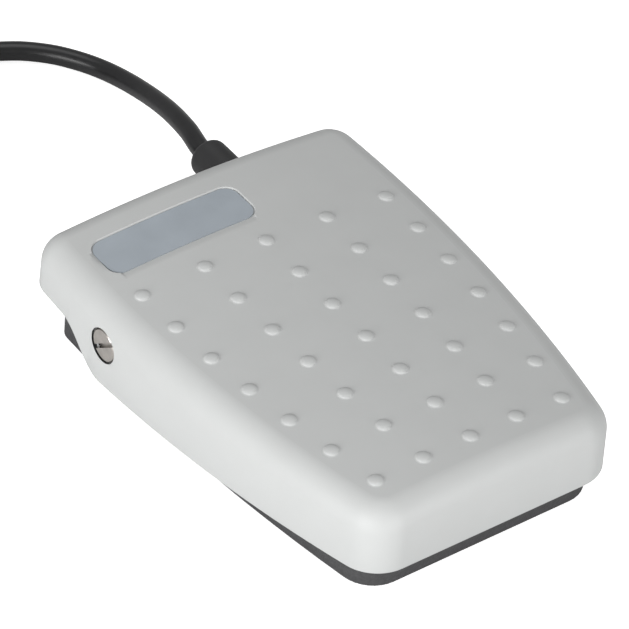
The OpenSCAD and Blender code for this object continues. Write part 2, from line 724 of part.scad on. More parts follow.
// Round the coil, as angle, distance from its middle, and height.
tail_route = [
  [100, 26.5, 20.2], [120, 28.5, 20.2], [140, 31, 20.2], [160, 33.5, 20.2], [180, 36, 20.2],
  [192, 37.8, 20.2]
];
free_common_route = [
  [192, 36.7, 20.9], [202, 40.2, 20], [213, 43, 13.5], [224, 44, 6.5], [236, 44.4, 1.9],
  [248, 44.6, 1.2], [258, 44.8, 1.2]
];
free_open_route = [
  [192, 37.8, 18.9], [202, 41.8, 17.8], [213, 45, 11.8], [224, 47, 5.6], [236, 47.7, 1.7],
  [250, 47.9, 1.2], [262, 48, 1.2]
];
free_closed_route = [
  [192, 38.9, 20.9], [202, 43.3, 19.6], [213, 47.4, 13], [224, 50.4, 6], [236, 51.4, 1.8],
  [246, 51.7, 1.2], [255, 52, 1.2]
];
ferrule_l = 8;
function round_coil(p) = [coil_x + p[1] * cos(p[0]), coil_y + p[1] * sin(p[0]), p[2]];
function laid(route) = [for (p = route) round_coil(p)];
function along_turn(angle) = [-sin(angle), cos(angle), 0];

module cable_lead() {
  color([0.1, 0.1, 0.1]) tube(smooth(lead_route, 2), floor_r, 12, [0, 1, 0]);
}
// A block across the coil's turns at the tie, with room at both sides.
module tie_block(side, l, z0, z1) {
  translate([coil_x, coil_y, 0]) rotate([0, 0, tie_angle])
    translate([coil_in - side, -l / 2, z0]) cube([coil_out - coil_in + 2 * side, l, z1 - z0]);
}
module cable_coil() {
  color([0.1, 0.1, 0.1])
    difference() {
      translate([coil_x, coil_y, 0]) rotate_extrude($fn = 96)
        translate([coil_in, 0]) square([coil_out - coil_in, coil_h]);
      tie_block(2, tie_w, -1, tie_t);
    }
}
module coil_tie() {
  color([0.06, 0.06, 0.06])
    difference() {
      tie_block(0.4 + tie_t, tie_w, 0, coil_h + tie_t);
      tie_block(0.4, 2 * tie_w, tie_t, coil_h);
    }
}
module cable_tail() {
  color([0.1, 0.1, 0.1])
    tube(smooth(laid(tail_route), 3), floor_r, 12, along_turn(100), along_turn(192));
}
module free_core(route) {
  tube(smooth(laid(route), 3), core_d / 2, 8, along_turn(192), along_turn(route[len(route) - 1][0]));
}
module free_core_common() color([0.36, 0.2, 0.12]) free_core(free_common_route);
module free_core_open() color([0.1, 0.1, 0.1]) free_core(free_open_route);
module free_core_closed() color([0.12, 0.2, 0.5]) free_core(free_closed_route);
module core_ferrules() {
  color([0.75, 0.75, 0.77])
    for (route = [free_common_route, free_open_route, free_closed_route]) {
      last = route[len(route) - 1];
      translate(round_coil(last)) rotate([0, 0, last[0] + 90]) rotate([0, 90, 0])
        cylinder(d = 1.8, h = ferrule_l);
    }
}

pedal_cover();
label_plate();
base_tray();
rubber_feet();
pivot_screw_left();
pivot_screw_right();
pivot_insert_left();
pivot_insert_right();
stop_buffer_left();
stop_buffer_right();
return_spring();
switch_case();
switch_lid();
switch_plunger();
contact_blade();
moving_contact();
common_terminal();
open_terminal();
closed_terminal();
fixed_contacts();
switch_screws();
switch_nuts();
terminal_sleeves();
core_common();
core_open();
core_closed();
inner_cable();
cable_clamp();
clamp_screws();
cable_bush();
cable_lead();
cable_coil();
cable_tail();
coil_tie();
free_core_common();
free_core_open();
free_core_closed();
core_ferrules();
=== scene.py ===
import math

import bpy
from bpy.props import FloatProperty, FloatVectorProperty, PointerProperty
from mathutils import Matrix, Vector


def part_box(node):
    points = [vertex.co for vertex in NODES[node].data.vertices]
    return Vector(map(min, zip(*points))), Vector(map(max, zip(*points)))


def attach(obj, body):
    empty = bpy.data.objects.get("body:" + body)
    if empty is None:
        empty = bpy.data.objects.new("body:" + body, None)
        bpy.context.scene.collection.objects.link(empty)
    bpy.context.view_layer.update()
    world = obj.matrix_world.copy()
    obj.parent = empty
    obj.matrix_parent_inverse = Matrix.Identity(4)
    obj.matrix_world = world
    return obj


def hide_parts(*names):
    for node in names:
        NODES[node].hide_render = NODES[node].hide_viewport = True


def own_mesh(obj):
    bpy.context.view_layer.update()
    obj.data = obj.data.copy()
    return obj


bl_info = {
    "name": "Foot switch",
    "version": (1, 0, 0),
    "blender": (4, 5, 0),
    "location": "View3D > Sidebar > Foot switch",
    "description": "Dresses the foot switch: pedal cover, tray, screws, switch and cable",
    "category": "Object",
}

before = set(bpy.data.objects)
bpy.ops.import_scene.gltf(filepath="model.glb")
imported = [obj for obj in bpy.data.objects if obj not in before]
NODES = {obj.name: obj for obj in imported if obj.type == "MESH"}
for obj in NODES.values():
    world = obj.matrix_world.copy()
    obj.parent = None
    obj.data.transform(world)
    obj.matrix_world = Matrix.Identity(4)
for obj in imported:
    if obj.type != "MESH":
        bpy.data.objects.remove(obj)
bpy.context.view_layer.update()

MM = 0.001

COVER_LOW, COVER_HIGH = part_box("pedal_cover")
SCREW_LOW, SCREW_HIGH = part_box("pivot_screw_right")
BUSH_LOW, BUSH_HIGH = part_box("cable_bush")
LABEL_LOW, LABEL_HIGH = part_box("label_plate")
COIL_LOW, COIL_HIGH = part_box("cable_coil")
HEAD_D = SCREW_HIGH[2] - SCREW_LOW[2]
PIVOT = Vector((0, (SCREW_LOW[1] + SCREW_HIGH[1]) / 2, (SCREW_LOW[2] + SCREW_HIGH[2]) / 2))
BUSH_AXIS = ((BUSH_LOW[0] + BUSH_HIGH[0]) / 2, (BUSH_LOW[2] + BUSH_HIGH[2]) / 2)
# Where the screw's shoulder sits in the boss, and the room round its head.
SCREW_SEAT = SCREW_HIGH[0] - 2.8 * MM
BORE_R = HEAD_D / 2 + 0.3 * MM
COIL_MID = Vector(((COIL_LOW[0] + COIL_HIGH[0]) / 2, (COIL_LOW[1] + COIL_HIGH[1]) / 2, 0))


# ---------- settings ----------

def length(name, description, default):
    return FloatProperty(name=name, description=description, default=default, min=0, unit="LENGTH",
                         precision=5)


def colour(name, description, default):
    return FloatVectorProperty(name=name, description=description, default=default, size=3,
                               subtype="COLOR", min=0, max=1)


class FootSwitchSizes(bpy.types.PropertyGroup):
    dome_height: length("Dome height", "How far a grip dome stands above the top", 0.7 * MM)
    dome_width: length("Dome width", "Width of a grip dome at its foot", 4.4 * MM)
    dome_pitch: length("Dome spacing", "Distance between the rows of domes", 15 * MM)
    dome_margin: length("Dome margin", "Distance from the outer domes to the side", 12.1 * MM)
    side_radius: length("Side radius", "Radius of the long sides, seen from above", 453 * MM)
    crown_radius: length("Crown radius", "Radius of the crown across the width", 473 * MM)
    top_round: length("Top rounding", "Rounding between the walls and the top", 7 * MM)
    wall: length("Wall", "Wall thickness of the cover", 2.2 * MM)
    recess_depth: length("Recess depth", "Depth of the label recess", 0.6 * MM)
    recess_corner: length("Recess corner", "Corner radius of the label recess", 4.2 * MM)
    cable_width: length("Cable width", "Diameter of the cable", 5.7 * MM)


class FootSwitchColours(bpy.types.PropertyGroup):
    cover: colour("Cover", "Light grey moulding of the pedal cover", (0.53, 0.54, 0.535))
    tray: colour("Tray", "Dark grey moulding of the base tray", (0.05, 0.05, 0.052))
    label: colour("Label plate", "Bluish grey of the bare label plate", (0.36, 0.4, 0.44))
    steel: colour("Steel", "Turned steel of the pivot screws", (0.5, 0.47, 0.44))
    zinc: colour("Zinc", "Zinc-plated steel of the small screws", (0.6, 0.61, 0.63))
    brass: colour("Brass", "Brass of the inserts and terminals", (0.62, 0.45, 0.2))
    rubber: colour("Rubber", "Black rubber of the feet, stops and bush", (0.024, 0.024, 0.025))
    cable: colour("Cable", "Black sheath of the cable", (0.014, 0.014, 0.015))


class FootSwitchView(bpy.types.PropertyGroup):
    azimuth: FloatProperty(name="Azimuth", description="Angle of the camera round the part",
                           default=math.radians(-39.105), subtype="ANGLE")
    elevation: FloatProperty(name="Elevation", description="Angle of the camera above the floor",
                             default=math.radians(40.77), subtype="ANGLE")
    roll: FloatProperty(name="Roll", description="Turn of the camera about its own axis",
                        default=math.radians(5.24), subtype="ANGLE")
    distance: length("Distance", "Distance from the camera to the point it looks at", 1.1891)
    aim: FloatVectorProperty(name="Aim", description="Point that the camera looks at",
                             default=(0.00434, 0.0157, 0.015), subtype="TRANSLATION", unit="LENGTH")
    lens: FloatProperty(name="Lens", description="Focal length in millimetres", default=255.42)


def sizes():
    return bpy.context.scene.foot_switch_sizes


def colours():
    return bpy.context.scene.foot_switch_colours


# ---------- materials ----------

def add_node(tree, kind, x, y, **values):
    node = tree.nodes.new(kind)
    node.location = (x, y)
    for name, value in values.items():
        if name in node.inputs:
            node.inputs[name].default_value = value
        else:
            setattr(node, name, value)
    return node


def shade(base, factor):
    return tuple(min(1.0, c * factor) for c in base) + (1.0,)


def base_finish(name, base, rough, metal=0.0, spread=0.06, patch=90.0, rough_spread=0.08):
    """A material whose colour and gloss drift a little over the surface."""
    mat = bpy.data.materials.new(name)
    mat.use_nodes = True
    tree = mat.node_tree
    shader = tree.nodes["Principled BSDF"]
    shader.inputs["Metallic"].default_value = metal
    place = add_node(tree, "ShaderNodeTexCoord", -1100, 0)
    cloud = add_node(tree, "ShaderNodeTexNoise", -850, 150, Scale=patch, Detail=4.0, Roughness=0.55)
    tree.links.new(place.outputs["Object"], cloud.inputs["Vector"])
    ramp = add_node(tree, "ShaderNodeValToRGB", -600, 200)
    ramp.color_ramp.elements[0].position = 0.3
    ramp.color_ramp.elements[0].color = shade(base, 1 - spread)
    ramp.color_ramp.elements[1].position = 0.7
    ramp.color_ramp.elements[1].color = shade(base, 1 + spread)
    tree.links.new(cloud.outputs["Fac"], ramp.inputs["Fac"])
    tree.links.new(ramp.outputs["Color"], shader.inputs["Base Color"])
    gloss = add_node(tree, "ShaderNodeMapRange", -600, -80)
    gloss.inputs["To Min"].default_value = max(0.02, rough - rough_spread)
    gloss.inputs["To Max"].default_value = min(1.0, rough + rough_spread)
    tree.links.new(cloud.outputs["Fac"], gloss.inputs["Value"])
    tree.links.new(gloss.outputs["Result"], shader.inputs["Roughness"])
    return mat, tree, shader, place


def add_bump(tree, shader, height, strength, depth):
    bump = add_node(tree, "ShaderNodeBump", -250, -300, Strength=strength, Distance=depth)
    tree.links.new(height, bump.inputs["Height"])
    tree.links.new(bump.outputs["Normal"], shader.inputs["Normal"])
    return bump


def moulded(name, base, rough, grain=2600.0, strength=0.25, depth=0.03 * MM, spread=0.03):
    """Moulded plastic or rubber with a fine spark-eroded grain."""
    mat, tree, shader, place = base_finish(name, base, rough, spread=spread)
    fine = add_node(tree, "ShaderNodeTexNoise", -850, -350, Scale=grain, Detail=3.0, Roughness=0.6)
    tree.links.new(place.outputs["Object"], fine.inputs["Vector"])
    add_bump(tree, shader, fine.outputs["Fac"], strength, depth)
    return mat


def leather_grain(name, base, rough):
    """Dark moulding with a pebbled grain, as on the tray."""
    mat, tree, shader, place = base_finish(name, base, rough, spread=0.18, patch=900.0)
    cells = add_node(tree, "ShaderNodeTexVoronoi", -850, -350, Scale=1500.0)
    tree.links.new(place.outputs["Object"], cells.inputs["Vector"])
    add_bump(tree, shader, cells.outputs["Distance"], 0.7, 0.12 * MM)
    return mat


def drawn_metal(name, base, rough, stretch=(1.0, 1.0, 1.0), grain=1800.0, strength=0.15):
    """Metal with faint tool marks along one direction."""
    mat, tree, shader, place = base_finish(name, base, rough, metal=1.0, spread=0.1, patch=400.0)
    turn = add_node(tree, "ShaderNodeMapping", -1000, -350, Scale=stretch)
    marks = add_node(tree, "ShaderNodeTexNoise", -800, -350, Scale=grain, Detail=2.0)
    tree.links.new(place.outputs["Object"], turn.inputs["Vector"])
    tree.links.new(turn.outputs["Vector"], marks.inputs["Vector"])
    add_bump(tree, shader, marks.outputs["Fac"], strength, 0.02 * MM)
    return mat


def sheath(name, base, rough):
    """Cable sheath: smooth, with the faint lay of the cores showing through."""
    mat, tree, shader, place = base_finish(name, base, rough, spread=0.12, patch=300.0)
    lay = add_node(tree, "ShaderNodeTexNoise", -850, -350, Scale=240.0, Detail=2.0)
    tree.links.new(place.outputs["Object"], lay.inputs["Vector"])
    add_bump(tree, shader, lay.outputs["Fac"], 0.25, 0.12 * MM)
    return mat


FINISHES = {}


def make_finishes():
    tone = colours()
    FINISHES.update(
        cover=moulded("cover_moulding", tone.cover, 0.5, grain=2200.0, strength=0.22, spread=0.012),
        tray=leather_grain("tray_grain", tone.tray, 0.62),
        label=moulded("label_satin", tone.label, 0.38, grain=3200.0, strength=0.12, spread=0.05),
        steel=drawn_metal("turned_steel", tone.steel, 0.36, stretch=(1, 0.3, 1)),
        zinc=drawn_metal("zinc_plate", tone.zinc, 0.3),
        spring=drawn_metal("spring_wire", tone.zinc, 0.26, stretch=(1, 1, 0.2)),
        brass=drawn_metal("brass_strip", tone.brass, 0.3, stretch=(1, 1, 0.15)),
        silver=drawn_metal("silver_contact", (0.82, 0.82, 0.84), 0.18),
        bronze=drawn_metal("spring_bronze", (0.66, 0.36, 0.18), 0.28, stretch=(0.2, 1, 1)),
        rubber=moulded("black_rubber", tone.rubber, 0.6, grain=1800.0, strength=0.3, spread=0.15),
        bush=moulded("bush_rubber", tone.rubber, 0.52, grain=1500.0, strength=0.25, spread=0.2),
        cable=sheath("cable_sheath", tone.cable, 0.34),
        black=moulded("black_moulding", (0.022, 0.022, 0.024), 0.42, spread=0.1),
        lid=moulded("lid_moulding", (0.035, 0.035, 0.038), 0.46, spread=0.1),
        clamp=moulded("clamp_moulding", (0.07, 0.07, 0.074), 0.5, spread=0.1),
        red=moulded("plunger_moulding", (0.5, 0.012, 0.008), 0.3, spread=0.08),
        brown=sheath("brown_core", (0.11, 0.035, 0.012), 0.35),
        blue=sheath("blue_core", (0.012, 0.035, 0.2), 0.35),
        tie=moulded("tie_moulding", (0.012, 0.012, 0.012), 0.4, spread=0.1),
        tinned=drawn_metal("tinned_copper", (0.74, 0.73, 0.7), 0.3),
    )


NODE_FINISH = {
    "label_plate": "label", "base_tray": "tray", "rubber_feet": "rubber",
    "pivot_screw_left": "steel", "pivot_screw_right": "steel",
    "pivot_insert_left": "brass", "pivot_insert_right": "brass",
    "stop_buffer_left": "rubber", "stop_buffer_right": "rubber",
    "switch_case": "black", "switch_lid": "lid", "switch_plunger": "red",
    "contact_blade": "bronze", "moving_contact": "silver", "fixed_contacts": "silver",
    "common_terminal": "brass", "open_terminal": "brass", "closed_terminal": "brass",
    "switch_screws": "zinc", "switch_nuts": "zinc", "terminal_sleeves": "black",
    "core_common": "brown", "core_open": "black", "core_closed": "blue",
    "inner_cable": "cable", "cable_clamp": "clamp", "clamp_screws": "zinc",
    "cable_bush": "bush", "coil_tie": "tie",
    "free_core_common": "brown", "free_core_open": "black", "free_core_closed": "blue",
    "core_ferrules": "tinned",
}


def set_material(obj, mat):
    obj.data.materials.clear()
    obj.data.materials.append(mat)


# ---------- mesh helpers ----------

def new_piece(name, verts, faces, mat, body, slot, sharp=35):
    mesh = bpy.data.meshes.new(name)
    mesh.from_pydata([tuple(v) for v in verts], [], faces)
    mesh.validate()
    obj = bpy.data.objects.new(name, mesh)
    bpy.context.scene.collection.objects.link(obj)
    mesh.materials.append(mat)
    smooth(mesh, sharp)
    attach(obj, body)
    return obj


def smooth(mesh, sharp):
    mesh.shade_smooth()
    mesh.set_sharp_from_angle(angle=math.radians(sharp))


def grid_faces(rings, count, first=0, closed=True):
    faces = []
    span = count if closed else count - 1
    for r in range(rings - 1):
        for i in range(span):
            a = first + r * count + i
            b = first + r * count + (i + 1) % count
            faces.append((a, b, b + count, a + count))
    return faces


def revolve(profile, steps, place):
    """Verts and faces of a closed turned body. profile is (radius, height), from axis to axis."""
    verts, faces = [], []
    for r, h in profile:
        for i in range(steps):
            a = 2 * math.pi * i / steps
            verts.append(place @ Vector((r * math.cos(a), r * math.sin(a), h)))
    faces += grid_faces(len(profile), steps)
    faces.append(tuple(reversed(range(steps))))
    last = (len(profile) - 1) * steps
    faces.append(tuple(last + i for i in range(steps)))
    return verts, faces


def merge(parts):
    verts, faces = [], []
    for part_verts, part_faces in parts:
        base = len(verts)
        verts += part_verts
        faces += [tuple(base + i for i in face) for face in part_faces]
    return verts, faces


def soft_box(low, high, r):
    """A block with its long edges taken off by r."""
    (x0, y0, z0), (x1, y1, z1) = low, high
    verts = []
    for z, d in ((z0, r), (z0 + r, 0), (z1, 0)):
        verts += [
            (x0 + d, y0 + d, z), (x1 - d, y0 + d, z), (x1 - d, y1 - d, z), (x0 + d, y1 - d, z)]
    faces = grid_faces(3, 4) + [(3, 2, 1, 0), (8, 9, 10, 11)]
    return [Vector(v) for v in verts], faces


# ---------- pedal cover ----------

class CoverShape:
    """The plan, crown and rim of the pedal cover, from its box in the frame."""

    def __init__(self):
        s = sizes()
        self.half_w = COVER_HIGH[0]
        self.front = COVER_LOW[1]
        self.rear = COVER_HIGH[1]
        self.top = COVER_HIGH[2] - s.dome_height
        self.side_r = s.side_radius
        self.crown_r = s.crown_radius
        self.round = s.top_round
        self.wall = s.wall
        self.widest = 38 * MM
        self.front_corner = 11.5 * MM
        self.rear_corner = 8.5 * MM
        self.draft = 0.3 * MM
        self.rim_front = 9.3 * MM
        self.rim_low = COVER_LOW[2]
        self.rim_rear = 12.8 * MM
        self.ramp = 35 * MM
        self.ramp_l = 18 * MM
        self.corner_steps = 20
        self.fine = 0.22 * MM
        self.columns = self.column_places()
        self.half = self.half_arcs()

    def crown(self, x):
        return self.top - self.crown_r + math.sqrt(self.crown_r ** 2 - x * x)

    def half_width(self, y):
        return self.half_w - self.side_r + math.sqrt(self.side_r ** 2 - (y - self.widest) ** 2)

    def rim(self, y):
        if y < self.ramp:
            part = (y - self.front) / (self.ramp - self.front)
            return self.rim_front + (self.rim_low - self.rim_front) * part
        if y > self.ramp + self.ramp_l:
            return self.rim_rear
        part = (1 - math.cos(math.pi * (y - self.ramp) / self.ramp_l)) / 2
        return self.rim_low + (self.rim_rear - self.rim_low) * part

    def corner(self, y, r):
        reach = math.sqrt((self.side_r - r) ** 2 - (y - self.widest) ** 2)
        return self.half_w - self.side_r + reach

    def half_arcs(self):
        """Right half of the plan as (centre x, centre y, radius, angle), front to rear."""
        fy, ry = self.front + self.front_corner, self.rear - self.rear_corner
        fx, rx = self.corner(fy, self.front_corner), self.corner(ry, self.rear_corner)
        cx = self.half_w - self.side_r
        fa = math.atan2(fy - self.widest, fx - cx)
        ra = math.atan2(ry - self.widest, rx - cx)
        quarter = math.pi / 2
        n = self.corner_steps
        arcs = [(fx, fy, self.front_corner, -quarter + (fa + quarter) * i / n) for i in range(n + 1)]
        start = self.widest + self.side_r * math.sin(fa)
        end = self.widest + self.side_r * math.sin(ra)
        mid, half, r = self.recess()
        low, high = mid[1] - half[1], mid[1] + half[1]
        spans = self.edge_spans(low, high, r)
        for y in fine_steps(start, end, spans, 1.6 * MM, self.fine)[1:-1]:
            arcs.append((cx, self.widest, self.side_r, math.asin((y - self.widest) / self.side_r)))
        arcs += [(rx, ry, self.rear_corner, ra + (quarter - ra) * i / n) for i in range(n + 1)]
        return arcs

    def edge_spans(self, low, high, r):
        """Where a recess from low to high needs closely spaced lines."""
        margin = 0.7 * MM
        return [(low - margin, low + r + margin), (high - r - margin, high + margin)]

    def column_places(self):
        """Places across the top from -1 to 1, close together at the ends of the recess."""
        mid, half, r = self.recess()
        reach = self.half_width(mid[1]) - self.round - self.draft
        spans = self.edge_spans(mid[0] - half[0], mid[0] + half[0], r)
        spans = [(a / reach, b / reach) for a, b in spans]
        return fine_steps(-1.0, 1.0, spans, 0.022, self.fine / reach)

    def at(self, k, inset):
        cx, cy, r, a = self.half[k]
        return cx + (r - inset) * math.cos(a), cy + (r - inset) * math.sin(a)

    def recess(self):
        """Middle, half sizes and corner radius of the label recess."""
        gap = 0.25 * MM
        mid = ((LABEL_LOW[0] + LABEL_HIGH[0]) / 2, (LABEL_LOW[1] + LABEL_HIGH[1]) / 2)
        half = ((LABEL_HIGH[0] - LABEL_LOW[0]) / 2 + gap, (LABEL_HIGH[1] - LABEL_LOW[1]) / 2 + gap)
        return mid, half, sizes().recess_corner


def rounded_distance(x, y, mid, half, r):
    """Distance outside a rounded rectangle, negative inside."""
    qx = abs(x - mid[0]) - half[0] + r
    qy = abs(y - mid[1]) - half[1] + r
    outside = math.hypot(max(qx, 0), max(qy, 0))
    return outside + min(max(qx, qy), 0) - r


def ease(value, low, high):
    part = min(1.0, max(0.0, (value - low) / (high - low)))
    return part * part * (3 - 2 * part)


def top_height(shape, x, y):
    """Height of the top face, with the label recess sunk into it."""
    mid, half, r = shape.recess()
    away = rounded_distance(x, y, mid, half, r)
    lip = 0.25 * MM
    return shape.crown(x) - sizes().recess_depth * (1 - ease(away, -0.05 * MM, lip))


def fine_steps(low, high, spans, coarse, fine):
    """Positions from low to high, close together inside the spans."""
    places = [low]
    while places[-1] < high:
        here = places[-1]
        near = any(a - fine <= here <= b for a, b in spans)
        places.append(here + (fine if near else coarse))
    places[-1] = high
    return places


def cover_shell(shape):
    """The closed shell: under face, inner wall, rim, outer wall, rounding and top face."""
    rows = len(shape.half)
    columns = shape.columns
    across = len(columns) - 1

    def ring(inset, height):
        points = []
        for j in range(across):
            x, y = shape.at(0, inset)
            px = x * columns[j]
            points.append((px, y, height(px, y, shape.at(0, 0)[1])))
        for k in range(rows):
            x, y = shape.at(k, inset)
            points.append((x, y, height(x, y, shape.at(k, 0)[1])))
        for j in range(1, across):
            x, y = shape.at(rows - 1, inset)
            px = x * columns[across - j]
            points.append((px, y, height(px, y, shape.at(rows - 1, 0)[1])))
        for k in range(rows - 1, 0, -1):
            x, y = shape.at(k, inset)
            points.append((-x, y, height(-x, y, shape.at(k, 0)[1])))
        return points

    def drop(amount):
        return lambda x, y, edge: shape.crown(x) - amount

    def rim_at(lift):
        return lambda x, y, edge: shape.rim(edge) + lift

    inner = shape.round - shape.wall
    edge_r = 0.45 * MM
    rings = []
    steps = 8
    for i in range(steps, -1, -1):
        a = math.pi / 2 * i / steps
        rings.append(ring(shape.wall + inner * (1 - math.cos(a)),
                          drop(shape.wall + inner * (1 - math.sin(a)))))
    for inset, lift in ((shape.wall, edge_r), (shape.wall - 0.3 * edge_r, 0.3 * edge_r),
                        (shape.wall - edge_r, 0), (edge_r, 0), (0.3 * edge_r, 0.3 * edge_r),
                        (0, edge_r)):
        rings.append(ring(inset, rim_at(lift)))
    steps = 14
    for i in range(steps + 1):
        a = math.pi / 2 * i / steps
        rings.append(ring(shape.draft + shape.round * (1 - math.cos(a)),
                          drop(shape.round * (1 - math.sin(a)))))
    count = len(rings[0])
    verts = [Vector(p) for r in rings for p in r]
    faces = [tuple(reversed(f)) for f in grid_faces(len(rings), count)]

    def cap(first, inset, height, turn):
        """Fills a ring with rows of faces across the width."""
        index = {}
        for j in range(across + 1):
            index[0, j] = first + j
            index[rows - 1, across - j] = first + across + rows - 1 + j
        for k in range(rows):
            index[k, across] = first + across + k
            index[k, 0] = first + (count - k) % count
        for k in range(1, rows - 1):
            x, y = shape.at(k, inset)
            for j in range(1, across):
                px = x * columns[j]
                index[k, j] = len(verts)
                verts.append(Vector((px, y, height(px, y))))
        for k in range(rows - 1):
            for j in range(across):
                quad = (index[k, j], index[k, j + 1], index[k + 1, j + 1], index[k + 1, j])
                faces.append(tuple(reversed(quad)) if turn else quad)

    cap(0, shape.wall + inner, lambda x, y: shape.crown(x) - shape.wall, True)
    cap((len(rings) - 1) * count, shape.draft + shape.round,
        lambda x, y: top_height(shape, x, y), False)
    return verts, faces


def dome_rows(shape):
    """Middles of the grip domes, seven rows of five."""
    s = sizes()
    first = 33.3 * MM
    for row in range(7):
        y = first - row * s.dome_pitch
        outer = shape.half_width(y) - s.dome_margin
        for col in range(-2, 3):
            x = col * outer / 2
            yield Vector((x, y, shape.crown(x)))


def dome(middle, tilt):
    """A low dome with a small fillet at its foot."""
    s = sizes()
    r, h = s.dome_width / 2, s.dome_height
    profile = [(r + 0.3 * MM, -0.15 * MM), (r + 0.3 * MM, 0.0), (r, 0.035 * MM), (r * 0.93, 0.16 * h)]
    steps = 8
    for i in range(1, steps):
        a = math.pi / 2 * i / steps
        profile.append((r * 0.9 * math.cos(a), h * (0.2 + 0.8 * math.sin(a))))
    profile.append((0.02 * MM, h))
    place = Matrix.Translation(middle) @ Matrix.Rotation(tilt, 4, "Y")
    return revolve(profile, 28, place)


def cutter(name, verts, faces):
    mesh = bpy.data.meshes.new(name)
    mesh.from_pydata([tuple(v) for v in verts], [], faces)
    obj = bpy.data.objects.new(name, mesh)
    bpy.context.scene.collection.objects.link(obj)
    return obj


def cut(obj, tools):
    """Cuts the tools out of the piece and keeps the result as its mesh."""
    for tool in tools:
        mod = obj.modifiers.new("cut", "BOOLEAN")
        mod.operation = "DIFFERENCE"
        mod.solver = "EXACT"
        mod.object = tool
    graph = bpy.context.evaluated_depsgraph_get()
    mesh = bpy.data.meshes.new_from_object(obj.evaluated_get(graph))
    obj.modifiers.clear()
    obj.data = mesh
    for tool in tools:
        bpy.data.objects.remove(tool, do_unlink=True)


def along_x(x, side):
    """Placement of a turned body on the pivot axis, its height pointing outwards."""
    turn = Matrix.Rotation(math.pi / 2 * side, 4, "Y")
    return Matrix.Translation(Vector((x * side, PIVOT.y, PIVOT.z))) @ turn


def turned_tube(loop, steps, place):
    """A closed turned body round a hole. loop is a closed outline of (radius, height)."""
    verts = []
    count = len(loop)
    for i in range(steps):
        a = 2 * math.pi * i / steps
        for r, h in loop:
            verts.append(place @ Vector((r * math.cos(a), r * math.sin(a), h)))
    faces = []
    for i in range(steps):
        for j in range(count):
            a, b = i * count + j, i * count + (j + 1) % count
            c, d = (i + 1) % steps * count + (j + 1) % count, (i + 1) % steps * count + j
            faces.append((a, b, c, d))
    return verts, faces


def cover_insides(shape):
    """Bosses, ribs, spigot, striker and pads under the top of the cover."""
    under = shape.top - shape.wall
    shoulder_r = 3.05 * MM
    boss_r = 6.6 * MM
    boss_in = SCREW_SEAT - 3.5 * MM
    boss_out = shape.half_w - shape.wall + 0.5 * MM
    soft = 0.4 * MM
    edge = 0.3 * MM
    rib_x = 22 * MM
    rib_half = 0.8 * MM
    rib_low = under - 2 * MM
    rib_high = under + 0.4 * MM
    stop_low, stop_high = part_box("stop_buffer_right")
    wall_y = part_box("base_tray")[1][1] - 2.4 * MM
    parts = []
    for side in (-1, 1):
        loop = [(shoulder_r, boss_in), (boss_r - soft, boss_in), (boss_r, boss_in + soft),
                (boss_r, boss_out), (BORE_R, boss_out), (BORE_R, SCREW_SEAT),
                (shoulder_r, SCREW_SEAT)]
        parts.append(turned_tube(loop, 48, along_x(0, side)))
        parts.append(soft_box((side * rib_x - rib_half, -58 * MM, rib_low),
                              (side * rib_x + rib_half, 24 * MM, rib_high), edge))
        stop = Vector((side * (stop_low[0] + stop_high[0]) / 2, (stop_low[1] + stop_high[1]) / 2, 0))
        land = [(3.9 * MM, under - 2.8 * MM), (4.5 * MM, under - 2.4 * MM), (4.5 * MM, under + 0.3 * MM)]
        parts.append(revolve(land, 32, Matrix.Translation(stop)))
        pad_x = side * 28 * MM
        parts.append(soft_box((pad_x - 4 * MM, wall_y + 0.4 * MM, under - 5.2 * MM),
                              (pad_x + 4 * MM, wall_y + 2 * MM, under - 0.4 * MM), edge))
    for y in (-13 * MM, 25 * MM):
        parts.append(soft_box((-rib_x, y - rib_half, rib_low), (rib_x, y + rib_half, rib_high), edge))
    spring_low, spring_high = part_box("return_spring")
    spigot = Vector(((spring_low[0] + spring_high[0]) / 2, (spring_low[1] + spring_high[1]) / 2, 0))
    post = [(4.2 * MM, under - 5 * MM), (4.8 * MM, under - 4.4 * MM), (4.8 * MM, under + 0.4 * MM)]
    parts.append(revolve(post, 32, Matrix.Translation(spigot)))
    plunger_low, plunger_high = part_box("switch_plunger")
    striker_y = (plunger_low[1] + plunger_high[1]) / 2
    parts.append(soft_box((-3 * MM, striker_y - 3 * MM, plunger_high[2] + 0.2 * MM),
                          (3 * MM, striker_y + 3 * MM, under + 0.4 * MM), 0.3 * MM))
    return parts


def mesh_parts(mesh):
    return [v.co.copy() for v in mesh.vertices], [tuple(p.vertices) for p in mesh.polygons]


